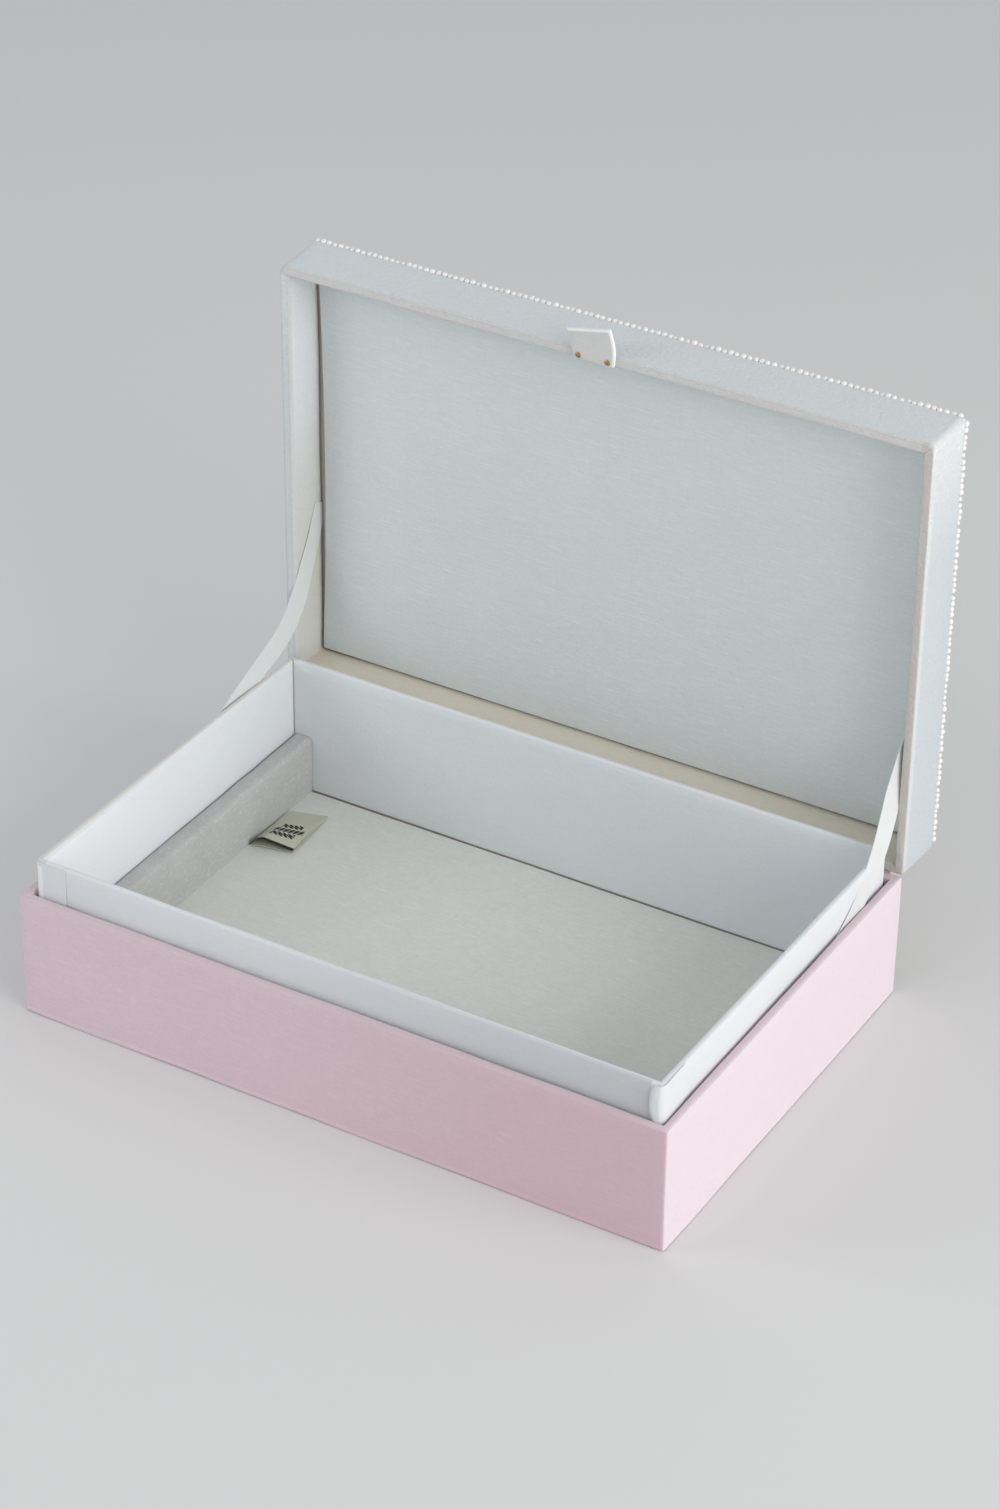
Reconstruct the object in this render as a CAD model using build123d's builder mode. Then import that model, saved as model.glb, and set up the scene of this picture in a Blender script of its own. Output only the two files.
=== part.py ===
from build123d import *
import os

# A cloth-covered rigid-board jewelry box with a hinged, padded lid, shown with the lid open at 90 degrees.
# The origin is the centre of the underside. X runs to the right along the front, Y to the back, Z up.

os.makedirs("parts", exist_ok=True)

# Driving dimensions, in millimetres
length = 256.0
width = 170.0
base_height = 49.0
lid_depth = 23.8
cloth = 0.45
sheet_thickness = 0.4

# Base box
base_board = 2.5
underside_inset = 3.0
base_turn_in_bottom = 30.0
underside_turn_in = 12.0

# Neck: the liner tray that stands up out of the base and locates the lid
neck_inset = 4.6
neck_rise = 12.7
neck_board = 1.5
neck_cloth = 0.35

# Floor pad and the ledge along the left wall
floor_top = 6.5
floor_cloth = 0.4
floor_gap = 0.4
ledge_width = 7.7
ledge_top = 30.0
ledge_cloth = 0.4
ledge_round = 1.5
ledge_gap = 0.2

# Lid
lid_board = 2.6
lid_corner_radius = 3.0
lid_edge_radius = 2.6
top_board = 2.0
top_board_inset = 0.4
wadding_inset = 2.8
wadding_round = 1.8
wadding_gap = 0.05
lining_depth = 16.9
lining_cloth = 0.4
lining_wadding = 0.9
lining_board = 1.2
lining_gap = 1.3
bead_height = 2.7
bead_margin = 1.9
bead_corner = 4.0
bead_round = 1.0

# Lift tab and its two pins
tab_thickness = 1.2
tab_root = (-7.4, 8.4)
tab_end = (-10.2, 6.8)
tab_reach = (7.2, 11.0)
tab_tuck = 3.1
pin_positions = (-5.5, 5.9)
pin_head_radius = 1.2
pin_head_thickness = 0.5
pin_shank_radius = 0.45
pin_length = 7.0
pin_hole_radius = 0.5
pin_inset = 1.8

# Ribbon stays
ribbon_width = 9.5
ribbon_thickness = 0.3
ribbon_x = 124.0
ribbon_bend = 8.0

# Hinge cloth and woven label
hinge_gap = 0.2
hinge_strip_length = 246.0
hinge_strip_clearance = 1.3
hinge_strip_lower = 34.0
label_size = (15.4, 24.0)
label_thickness = 1.2
label_centre = (-103.1, 51.5)
label_turn = 9.0

# Sizes worked out from the driving dimensions
bottom_board_top = sheet_thickness + cloth + base_board
base_wall = base_board + 2 * cloth
neck_length = length - 2 * neck_inset
neck_width = width - 2 * neck_inset
neck_wall = neck_board + 2 * neck_cloth
neck_top = base_height + neck_rise
tray_length = neck_length - 2 * neck_wall
tray_width = neck_width - 2 * neck_wall
lid_wall = lid_board + 2 * cloth
lining_top = lining_depth + lining_cloth + lining_wadding + lining_board
top_board_top = lining_top + top_board
board_length = length - 2 * cloth
board_width = width - 2 * cloth

# The lid is drawn as if closed, on a plane that stands upright: its rim is at height 0 on that plane,
# its hinge edge at y = 0 and its front edge at y = -width.
hinge_height = base_height + hinge_gap
lid_plane = Plane(origin=(0, width / 2, hinge_height), x_dir=(1, 0, 0), z_dir=(0, 1, 0))
lid_centre = (0, -width / 2)


def save(piece, name):
    piece.part.label = name
    export_step(piece.part, f"parts/{name}.step")


def standing_board(name, size, centre, bottom, top):
    """An upright board with a plain rectangular outline."""
    with BuildPart() as board:
        with BuildSketch(Plane.XY.offset(bottom)):
            with Locations(centre):
                Rectangle(*size)
        extrude(amount=top - bottom)
    save(board, name)


# Base: underside sheet, bottom board and four wall boards

with BuildPart() as base_underside_sheet:
    with BuildSketch():
        Rectangle(length - 2 * underside_inset, width - 2 * underside_inset)
    extrude(amount=sheet_thickness)
save(base_underside_sheet, "base_underside_sheet")

with BuildPart() as base_bottom_board:
    with BuildSketch(Plane.XY.offset(sheet_thickness + cloth)):
        Rectangle(board_length, board_width)
    extrude(amount=base_board)
save(base_bottom_board, "base_bottom_board")

base_board_top = base_height - cloth
end_x = (board_length - base_board) / 2
side_y = (board_width - base_board) / 2
for name, sign in (("front", -1), ("back", 1)):
    standing_board(f"base_{name}_board", (board_length, base_board), (0, sign * side_y),
                   bottom_board_top, base_board_top)
for name, sign in (("left", -1), ("right", 1)):
    standing_board(f"base_{name}_board", (base_board, board_width - 2 * base_board),
                   (sign * end_x, 0), bottom_board_top, base_board_top)

# Base cover cloth: wraps the outside, turns over the top edge and in under the bottom board

base_inner = (length - 2 * base_wall, width - 2 * base_wall)
with BuildPart() as base_cover_cloth:
    with BuildSketch(Plane.XY.offset(sheet_thickness)):
        Rectangle(length, width)
    extrude(amount=base_height - sheet_thickness)
    with BuildSketch(Plane.XY.offset(sheet_thickness + cloth)):
        Rectangle(board_length, board_width)
    extrude(amount=base_board_top - sheet_thickness - cloth, mode=Mode.SUBTRACT)
    with BuildSketch(Plane.XY.offset(base_board_top)):
        Rectangle(*base_inner)
    extrude(amount=cloth, mode=Mode.SUBTRACT)
    with BuildSketch(Plane.XY.offset(sheet_thickness)):
        Rectangle(length - 2 * underside_turn_in, width - 2 * underside_turn_in)
    extrude(amount=cloth, mode=Mode.SUBTRACT)
    with BuildSketch(Plane.XY.offset(base_turn_in_bottom)):
        Rectangle(base_inner[0] + 2 * cloth, base_inner[1] + 2 * cloth)
        Rectangle(*base_inner, mode=Mode.SUBTRACT)
    extrude(amount=base_height - base_turn_in_bottom)
save(base_cover_cloth, "base_cover_cloth")

# Neck: four thin boards inside the base and the cloth that covers them

neck_board_top = neck_top - neck_cloth
neck_outer = (neck_length - 2 * neck_cloth, neck_width - 2 * neck_cloth)
neck_end_x = (neck_outer[0] - neck_board) / 2
neck_side_y = (neck_outer[1] - neck_board) / 2
for name, sign in (("front", -1), ("back", 1)):
    standing_board(f"neck_{name}_board", (neck_outer[0], neck_board), (0, sign * neck_side_y),
                   bottom_board_top, neck_board_top)
for name, sign in (("left", -1), ("right", 1)):
    standing_board(f"neck_{name}_board", (neck_board, neck_outer[1] - 2 * neck_board),
                   (sign * neck_end_x, 0), bottom_board_top, neck_board_top)

with BuildPart() as neck_cover_cloth:
    with BuildSketch(Plane.XY.offset(bottom_board_top)):
        Rectangle(neck_length, neck_width)
        Rectangle(tray_length, tray_width, mode=Mode.SUBTRACT)
    extrude(amount=neck_top - bottom_board_top)
    with BuildSketch(Plane.XY.offset(bottom_board_top)):
        Rectangle(*neck_outer)
        Rectangle(neck_outer[0] - 2 * neck_board, neck_outer[1] - 2 * neck_board, mode=Mode.SUBTRACT)
    extrude(amount=neck_board_top - bottom_board_top, mode=Mode.SUBTRACT)
save(neck_cover_cloth, "neck_cover_cloth")

# Floor pad: a board dropped into the tray, wrapped in its own cloth

floor_size = (tray_length - 2 * floor_gap, tray_width - 2 * floor_gap)
floor_board_size = (floor_size[0] - 2 * floor_cloth, floor_size[1] - 2 * floor_cloth)
with BuildPart() as floor_board:
    with BuildSketch(Plane.XY.offset(bottom_board_top)):
        Rectangle(*floor_board_size)
    extrude(amount=floor_top - floor_cloth - bottom_board_top)
save(floor_board, "floor_board")

with BuildPart() as floor_cover_cloth:
    with BuildSketch(Plane.XY.offset(bottom_board_top)):
        Rectangle(*floor_size)
    extrude(amount=floor_top - bottom_board_top)
    with BuildSketch(Plane.XY.offset(bottom_board_top)):
        Rectangle(*floor_board_size)
    extrude(amount=floor_top - floor_cloth - bottom_board_top, mode=Mode.SUBTRACT)
save(floor_cover_cloth, "floor_cover_cloth")

# Ledge along the left wall: a solid core in soft cloth with a rounded top edge

ledge_x = -tray_length / 2 + ledge_gap + ledge_width / 2
ledge_depth = tray_width - 2 * ledge_gap
with BuildPart() as ledge_core:
    with BuildSketch(Plane.XY.offset(floor_top)):
        with Locations((ledge_x, 0)):
            Rectangle(ledge_width - 2 * ledge_cloth, ledge_depth - 2 * ledge_cloth)
    extrude(amount=ledge_top - ledge_cloth - floor_top)
    fillet(ledge_core.edges().filter_by(Axis.Y).group_by(Axis.Z)[-1], ledge_round - ledge_cloth)
save(ledge_core, "ledge_core")

with BuildPart() as ledge_cover_cloth:
    with BuildSketch(Plane.XY.offset(floor_top)):
        with Locations((ledge_x, 0)):
            Rectangle(ledge_width, ledge_depth)
    extrude(amount=ledge_top - floor_top)
    fillet(ledge_cover_cloth.edges().filter_by(Axis.Y).group_by(Axis.Z)[-1], ledge_round)
    add(ledge_core.part, mode=Mode.SUBTRACT)
save(ledge_cover_cloth, "ledge_cover_cloth")

# Woven label lying on the floor beside the ledge

with BuildPart() as woven_label:
    with BuildSketch(Plane.XY.offset(floor_top)):
        with Locations(label_centre):
            Rectangle(*label_size, rotation=label_turn)
    extrude(amount=label_thickness)
save(woven_label, "woven_label")

# Lid: four wall boards, the top board and the lining board

lid_outer = (length, width)
lid_inner = (length - 2 * lid_wall, width - 2 * lid_wall)
board_inner = (board_length - 2 * lid_board, board_width - 2 * lid_board)
lid_end_x = (board_length - lid_board) / 2


def lid_wall_board(name, size, centre, rounded=False, pins=()):
    """A lid wall board, from the rim cloth up to the top board, with holes for any pins."""
    with BuildPart() as board:
        with BuildSketch(lid_plane.offset(cloth)):
            with Locations(centre):
                Rectangle(*size)
            for pin_x in pins:
                with Locations((pin_x, -width + pin_inset)):
                    Circle(pin_hole_radius, mode=Mode.SUBTRACT)
        extrude(amount=lining_top - cloth)
        if rounded:
            outer_side = board.faces().sort_by(Axis.Z)[-1 if centre[1] < -width / 2 else 0]
            fillet(outer_side.edges().filter_by(Axis.Y), lid_corner_radius - cloth)
    save(board, name)


lid_wall_board("lid_front_board", (board_length, lid_board),
               (0, -width + cloth + lid_board / 2), rounded=True, pins=pin_positions)
lid_wall_board("lid_back_board", (board_length, lid_board), (0, -cloth - lid_board / 2),
               rounded=True)
for name, sign in (("left", -1), ("right", 1)):
    lid_wall_board(f"lid_{name}_board", (lid_board, board_width - 2 * lid_board),
                   (sign * lid_end_x, -width / 2))

with BuildPart() as lid_top_board:
    with BuildSketch(lid_plane.offset(lining_top)):
        with Locations(lid_centre):
            RectangleRounded(board_length - 2 * top_board_inset, board_width - 2 * top_board_inset,
                             lid_corner_radius)
    extrude(amount=top_board)
    fillet(lid_top_board.faces().sort_by(Axis.Y)[-1].edges(), top_board - 0.1)
save(lid_top_board, "lid_top_board")

# Lid wadding: the thin soft layer between the top board and the beaded cloth

with BuildPart() as lid_top_wadding:
    with BuildSketch(lid_plane.offset(top_board_top)):
        with Locations(lid_centre):
            RectangleRounded(length - 2 * wadding_inset, width - 2 * wadding_inset, lid_corner_radius)
    extrude(amount=lid_depth - cloth - wadding_gap - top_board_top)
    fillet(lid_top_wadding.faces().sort_by(Axis.Y)[-1].edges(), wadding_round)
save(lid_top_wadding, "lid_top_wadding")

# Lid cover cloth: over the top and sides, round the rim and up the inside of the walls

with BuildPart() as lid_space:
    with BuildSketch(lid_plane.offset(cloth)):
        with Locations(lid_centre):
            RectangleRounded(board_length, board_width, lid_corner_radius - cloth)
    extrude(amount=lid_depth - 2 * cloth)
    fillet(lid_space.faces().sort_by(Axis.Y)[-1].edges(), lid_edge_radius - cloth)

with BuildPart() as lid_cover_cloth:
    with BuildSketch(lid_plane):
        with Locations(lid_centre):
            RectangleRounded(*lid_outer, lid_corner_radius)
    extrude(amount=lid_depth)
    fillet(lid_cover_cloth.faces().sort_by(Axis.Y)[-1].edges(), lid_edge_radius)
    add(lid_space.part, mode=Mode.SUBTRACT)
    with BuildSketch(lid_plane):
        with Locations(lid_centre):
            Rectangle(*lid_inner)
        for pin_x in pin_positions:
            with Locations((pin_x, -width + pin_inset)):
                Circle(pin_hole_radius)
    extrude(amount=cloth, mode=Mode.SUBTRACT)
    with BuildSketch(lid_plane):
        with Locations(lid_centre):
            Rectangle(*board_inner)
            Rectangle(*lid_inner, mode=Mode.SUBTRACT)
    extrude(amount=lining_top)
save(lid_cover_cloth, "lid_cover_cloth")

# Pearl beads sewn all over the lid's top, as one even layer

with BuildPart() as pearl_beads:
    with BuildSketch(lid_plane.offset(lid_depth)):
        with Locations(lid_centre):
            RectangleRounded(length - 2 * bead_margin, width - 2 * bead_margin, bead_corner)
    extrude(amount=bead_height)
    fillet(pearl_beads.faces().sort_by(Axis.Y)[-1].edges(), bead_round)
save(pearl_beads, "pearl_beads")

# Lid lining: a padded, cloth-wrapped board pressed up inside the lid

lining_size = (lid_inner[0] - 2 * lining_gap, lid_inner[1] - 2 * lining_gap)
lining_core_size = (lining_size[0] - 2 * lining_cloth, lining_size[1] - 2 * lining_cloth)
lining_wadding_top = lining_depth + lining_cloth + lining_wadding
with BuildPart() as lid_lining_board:
    with BuildSketch(lid_plane.offset(lining_wadding_top)):
        with Locations(lid_centre):
            Rectangle(*lining_core_size)
    extrude(amount=lining_board)
save(lid_lining_board, "lid_lining_board")

with BuildPart() as lid_lining_wadding:
    with BuildSketch(lid_plane.offset(lining_depth + lining_cloth)):
        with Locations(lid_centre):
            Rectangle(*lining_core_size)
    extrude(amount=lining_wadding)
save(lid_lining_wadding, "lid_lining_wadding")

with BuildPart() as lid_lining_cloth:
    with BuildSketch(lid_plane.offset(lining_depth)):
        with Locations(lid_centre):
            Rectangle(*lining_size)
    extrude(amount=lining_top - lining_depth)
    with BuildSketch(lid_plane.offset(lining_depth + lining_cloth)):
        with Locations(lid_centre):
            Rectangle(*lining_core_size)
    extrude(amount=lining_wadding + lining_board, mode=Mode.SUBTRACT)
save(lid_lining_cloth, "lid_lining_cloth")

# Hinge cloth: glued down the back of the base and along the back wall of the lid. It bends along the
# hinge line, so it is two flat strips that stop just short of that line.

with BuildPart() as hinge_cloth_lower:
    with BuildSketch(Plane.XY.offset(base_height - hinge_strip_clearance - hinge_strip_lower)):
        with Locations((0, width / 2 + cloth / 2)):
            Rectangle(hinge_strip_length, cloth)
    extrude(amount=hinge_strip_lower)
save(hinge_cloth_lower, "hinge_cloth_lower")

with BuildPart() as hinge_cloth_upper:
    with BuildSketch(lid_plane.offset(hinge_strip_clearance)):
        with Locations((0, cloth / 2)):
            Rectangle(hinge_strip_length, cloth)
    extrude(amount=lid_depth - lid_edge_radius - hinge_strip_clearance)
save(hinge_cloth_upper, "hinge_cloth_upper")

# Lift tab on the front rim: cloth over card, held by two brass pins

with BuildPart() as lift_tab:
    with BuildSketch(lid_plane):
        with BuildLine():
            Polyline((tab_root[0], -width + tab_tuck), (tab_root[1], -width + tab_tuck),
                     (tab_end[1], -width - tab_reach[1]), (tab_end[0], -width - tab_reach[0]),
                     close=True)
        make_face()
        for pin_x in pin_positions:
            with Locations((pin_x, -width + pin_inset)):
                Circle(pin_hole_radius, mode=Mode.SUBTRACT)
    extrude(amount=-tab_thickness)
save(lift_tab, "lift_tab")

for name, pin_x in zip(("left", "right"), pin_positions):
    with BuildPart() as tab_pin:
        with BuildSketch(lid_plane.offset(-tab_thickness - pin_head_thickness)):
            with Locations((pin_x, -width + pin_inset)):
                Circle(pin_head_radius)
        extrude(amount=pin_head_thickness)
        with BuildSketch(lid_plane.offset(-tab_thickness)):
            with Locations((pin_x, -width + pin_inset)):
                Circle(pin_shank_radius)
        extrude(amount=pin_length)
    save(tab_pin, f"tab_pin_{name}")

# Ribbon stays: slack satin ribbons, glued down beside the neck at the bottom and behind the lid
# lining at the top. Each is a flat band in an upright plane, drawn as (y, z) points.

ribbon_stop = width / 2 + lining_top - 0.2
left_route = ((14, 40), (30, 54), (46, 62.5), (62, 67.5), (77, 73.5), (87, 87), (94, 101), (108, 117))
right_route = ((20, 32), (40, 41.5), (60, 52), (75, 64.5), (83, 82), (90, 101), (108, 123))


def ribbon(name, route, x):
    with BuildPart() as band:
        with BuildSketch(Plane(origin=(x, 0, 0), x_dir=(0, 1, 0), z_dir=(1, 0, 0))):
            with BuildLine() as path:
                FilletPolyline(*route, radius=ribbon_bend)
            trace(path.line, line_width=ribbon_width)
            with Locations((ribbon_stop + base_height, base_height)):
                Rectangle(2 * base_height, 4 * base_height, mode=Mode.SUBTRACT)
        extrude(amount=ribbon_thickness / 2, both=True)
    save(band, name)


ribbon("ribbon_left", left_route, -ribbon_x)
ribbon("ribbon_right", right_route, ribbon_x)
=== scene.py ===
import bpy
import bmesh
import math
import random
from mathutils import Matrix, Vector, noise


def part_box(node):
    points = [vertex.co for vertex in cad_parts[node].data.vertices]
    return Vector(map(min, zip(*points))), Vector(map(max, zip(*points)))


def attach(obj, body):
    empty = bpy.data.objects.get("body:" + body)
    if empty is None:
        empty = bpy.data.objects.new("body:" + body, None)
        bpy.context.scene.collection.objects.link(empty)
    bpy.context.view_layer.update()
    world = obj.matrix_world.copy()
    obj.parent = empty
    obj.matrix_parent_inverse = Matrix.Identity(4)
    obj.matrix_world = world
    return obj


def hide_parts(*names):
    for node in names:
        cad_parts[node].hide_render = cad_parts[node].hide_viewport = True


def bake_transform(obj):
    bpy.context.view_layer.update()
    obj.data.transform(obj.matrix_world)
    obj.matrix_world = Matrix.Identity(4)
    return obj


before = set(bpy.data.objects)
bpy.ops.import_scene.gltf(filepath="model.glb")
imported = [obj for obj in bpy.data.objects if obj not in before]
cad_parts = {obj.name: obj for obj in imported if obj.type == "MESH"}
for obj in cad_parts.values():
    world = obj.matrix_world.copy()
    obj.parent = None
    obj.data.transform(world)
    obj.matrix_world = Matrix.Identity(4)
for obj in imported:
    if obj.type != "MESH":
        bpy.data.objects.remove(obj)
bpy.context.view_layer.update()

mm = 0.001
scene = bpy.context.scene
lidLow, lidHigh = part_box("lid_cover_cloth")
lidMiddle = (lidLow.z + lidHigh.z) / 2
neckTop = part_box("neck_cover_cloth")[1].z + 0.65 * mm


# small helpers for working in object and edit mode

def deselectAll():
    if bpy.context.mode != "OBJECT":
        bpy.ops.object.mode_set(mode="OBJECT")
    bpy.ops.object.select_all(action="DESELECT")


def makeActive(piece):
    deselectAll()
    piece.select_set(True)
    bpy.context.view_layer.objects.active = piece


def openEdit(piece, mode="FACE"):
    makeActive(piece)
    bpy.ops.object.mode_set(mode="EDIT")
    bpy.ops.mesh.select_mode(type=mode)
    bpy.ops.mesh.select_all(action="DESELECT")


def closeEdit():
    bpy.ops.object.mode_set(mode="OBJECT")


def pickFaces(piece, test):
    # test gets the face's middle and its normal
    bpy.ops.mesh.select_mode(type="FACE")
    bpy.ops.mesh.select_all(action="DESELECT")
    mesh = bmesh.from_edit_mesh(piece.data)
    for face in mesh.faces:
        face.select_set(bool(test(face.calc_center_median(), face.normal)))
    bmesh.update_edit_mesh(piece.data)


def pickEdges(piece, test):
    # test gets the edge, its middle and the vector along it
    bpy.ops.mesh.select_mode(type="EDGE")
    bpy.ops.mesh.select_all(action="DESELECT")
    mesh = bmesh.from_edit_mesh(piece.data)
    for edge in mesh.edges:
        a, b = edge.verts[0].co, edge.verts[1].co
        edge.select_set(bool(test(edge, (a + b) / 2, b - a)))
    bmesh.update_edit_mesh(piece.data)


def bevelPicked(width, steps):
    bpy.ops.mesh.bevel(offset=width, segments=steps, affect="EDGES", clamp_overlap=False)


def cutAlong(piece, axis, cuts, longerThan):
    # even cross cuts through every face whose edges run along one axis
    pickEdges(piece, lambda edge, middle, run: run.length > longerThan
              and abs(run[axis]) > 0.99 * run.length)
    bpy.ops.mesh.subdivide(number_cuts=cuts)


def addBlock(name, low, high):
    deselectAll()
    low, high = Vector(low), Vector(high)
    bpy.ops.mesh.primitive_cube_add(size=1, location=(low + high) / 2)
    piece = bpy.context.object
    piece.name = piece.data.name = name
    piece.scale = high - low
    bpy.ops.object.transform_apply(location=True, rotation=True, scale=True)
    return piece


def applyAll(piece):
    makeActive(piece)
    for modifier in list(piece.modifiers):
        bpy.ops.object.modifier_apply(modifier=modifier.name)


def unwrapFlat(piece):
    # UVs in metres, straight on to the nearest flat side, so a weave lies square on every face
    openEdit(piece)
    bpy.ops.mesh.select_all(action="SELECT")
    bpy.ops.uv.cube_project(cube_size=1.0, correct_aspect=False)
    closeEdit()


def thicken(piece, thickness, offset=-1.0):
    modifier = piece.modifiers.new("thickness", "SOLIDIFY")
    modifier.thickness = thickness
    modifier.offset = offset
    modifier.use_even_offset = True
    applyAll(piece)


def swell(piece, size, strength, seed=0.0):
    # slow unevenness of cloth over board
    normals = [vertex.normal.copy() for vertex in piece.data.vertices]
    for vertex, normal in zip(piece.data.vertices, normals):
        amount = noise.noise(vertex.co / size + Vector((seed, seed * 0.7, 0)))
        vertex.co += normal * amount * strength


def smooth(piece, angle=40):
    makeActive(piece)
    bpy.ops.object.shade_smooth_by_angle(angle=math.radians(angle))


def dress(piece, material, body, slotName, *nodes):
    piece.data.materials.clear()
    piece.data.materials.append(material)
    if nodes:
        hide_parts(*nodes)
    if body:
        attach(piece, body)


# camera, light and floor

cameraSet = {
    "place": (0.6113, -1.0164, 0.8640),
    "azimuth": 30.42,
    "elevation": 32.67,
    "roll": 0.607,
    "lens": 98.8,
    "sensor": 36.0,
}


def makeCamera():
    data = bpy.data.cameras.new("camera")
    camera = bpy.data.objects.new("camera", data)
    scene.collection.objects.link(camera)
    turn = (Matrix.Rotation(math.radians(cameraSet["azimuth"]), 3, "Z")
            @ Matrix.Rotation(math.radians(90 - cameraSet["elevation"]), 3, "X")
            @ Matrix.Rotation(math.radians(cameraSet["roll"]), 3, "Z"))
    camera.location = cameraSet["place"]
    camera.rotation_euler = turn.to_euler()
    data.sensor_fit = "VERTICAL"
    data.sensor_height = data.sensor_width = cameraSet["sensor"]
    data.lens = cameraSet["lens"]
    data.clip_start = 0.05
    data.clip_end = 20
    scene.camera = camera


lightSet = {
    "sky": (0.93, 0.97, 1.0),
    "skyStrength": 0.59,
    "windowPlace": (1.72, -0.28, 0.75),
    "windowSize": (1.6, 1.3),
    "windowPower": 23.5,
    "windowColour": (1.0, 0.99, 0.97),
    "frontPlace": (-0.80, -0.58, 0.55),
    "frontSize": (0.6, 0.5),
    "frontPower": 2.5,
    "floorSize": 8.0,
    "floorColour": (0.72, 0.71, 0.70),
}


def addSoftLight(name, place, size, power, colour, target=(0, 0, 0.08)):
    data = bpy.data.lights.new(name, "AREA")
    data.shape = "RECTANGLE"
    data.size, data.size_y = size
    data.energy = power
    data.color = colour
    light = bpy.data.objects.new(name, data)
    scene.collection.objects.link(light)
    light.location = place
    aim = Vector(target) - Vector(place)
    light.rotation_euler = aim.to_track_quat("-Z", "Y").to_euler()


def makeStudio():
    world = bpy.data.worlds.new("studio")
    world.use_nodes = True
    background = world.node_tree.nodes["Background"]
    background.inputs["Color"].default_value = (*lightSet["sky"], 1)
    background.inputs["Strength"].default_value = lightSet["skyStrength"]
    scene.world = world
    addSoftLight("windowLight", lightSet["windowPlace"], lightSet["windowSize"],
                 lightSet["windowPower"], lightSet["windowColour"])
    addSoftLight("frontLight", lightSet["frontPlace"], lightSet["frontSize"],
                 lightSet["frontPower"], lightSet["sky"])
    deselectAll()
    bpy.ops.mesh.primitive_plane_add(size=lightSet["floorSize"])
    floor = bpy.context.object
    floor.name = "studioFloor"
    material = bpy.data.materials.new("studioFloor")
    material.use_nodes = True
    shader = material.node_tree.nodes["Principled BSDF"]
    shader.inputs["Base Color"].default_value = (*lightSet["floorColour"], 1)
    shader.inputs["Roughness"].default_value = 0.9
    floor.data.materials.append(material)
    scene.view_settings.view_transform = "Standard"


makeCamera()
makeStudio()
print("camera, light and floor are in place")


# shared shader groups

def addNode(tree, kind, **values):
    node = tree.nodes.new(kind)
    for name, value in values.items():
        setattr(node, name, value)
    return node


def feed(tree, socket, value):
    # a number or colour is set, another node's output is linked
    value = getattr(value, "socket", value)
    if isinstance(value, (int, float)):
        socket.default_value = value
    elif isinstance(value, tuple):
        socket.default_value = (*value, 1)
    elif value is not None:
        tree.links.new(value, socket)


class Signal:
    # a value in a shader; arithmetic on it adds math nodes to its tree

    def __init__(self, tree, socket):
        self.tree, self.socket = tree, socket

    def math(self, operation, first, second=None):
        node = addNode(self.tree, "ShaderNodeMath", operation=operation)
        feed(self.tree, node.inputs[0], first)
        feed(self.tree, node.inputs[1], second)
        return Signal(self.tree, node.outputs[0])

    def to(self, operation, other=None):
        return self.math(operation, self, other)

    def __add__(self, other):
        return self.to("ADD", other)

    def __sub__(self, other):
        return self.to("SUBTRACT", other)

    def __rsub__(self, other):
        return self.math("SUBTRACT", other, self)

    def __mul__(self, other):
        return self.to("MULTIPLY", other)

    def __truediv__(self, other):
        return self.to("DIVIDE", other)

    def __rtruediv__(self, other):
        return self.math("DIVIDE", other, self)

    def __lt__(self, other):
        return self.to("LESS_THAN", other)

    def __gt__(self, other):
        return self.to("GREATER_THAN", other)

    def __abs__(self):
        return self.to("ABSOLUTE")


def signals(tree, node):
    return {socket.name: Signal(tree, socket) for socket in node.outputs}


def axesOf(tree, vector):
    node = addNode(tree, "ShaderNodeSeparateXYZ")
    feed(tree, node.inputs[0], vector)
    return [Signal(tree, socket) for socket in node.outputs]


def ramp(value, low, high, top=1.0, kind="SMOOTHSTEP"):
    # 0 at low, rising to top at high; low may be the larger
    node = addNode(value.tree, "ShaderNodeMapRange", interpolation_type=kind)
    for label, number in (("From Min", low), ("From Max", high), ("To Max", top)):
        node.inputs[label].default_value = number
    feed(value.tree, node.inputs["Value"], value)
    return Signal(value.tree, node.outputs[0])


def noiseOf(tree, vector, scale, detail):
    node = addNode(tree, "ShaderNodeTexNoise")
    for label, value in (("Vector", vector), ("Scale", scale), ("Detail", detail)):
        feed(tree, node.inputs[label], value)
    return Signal(tree, node.outputs["Fac"])


def threadNoise(tree, vector, stretch, detail):
    # noise drawn out along the threads
    node = addNode(tree, "ShaderNodeMapping")
    node.inputs["Scale"].default_value = stretch
    feed(tree, node.inputs["Vector"], vector)
    return noiseOf(tree, node.outputs[0], 1.0, detail)


def newGroup(name, inputs, outputs):
    group = bpy.data.node_groups.new(name, "ShaderNodeTree")
    for label, value in inputs:
        kind = "NodeSocketVector" if value is None else "NodeSocketFloat"
        socket = group.interface.new_socket(name=label, in_out="INPUT", socket_type=kind)
        if value is not None:
            socket.default_value = value
    for label in outputs:
        group.interface.new_socket(name=label, in_out="OUTPUT", socket_type="NodeSocketFloat")
    given = signals(group, group.nodes.new("NodeGroupInput"))
    return group, given, group.nodes.new("NodeGroupOutput").inputs


weaveLook = {"wander": 220.0, "wanderDetail": 2.0, "thread": (90.0, 2600.0, 1.0),
             "threadDetail": 3.0}


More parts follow.
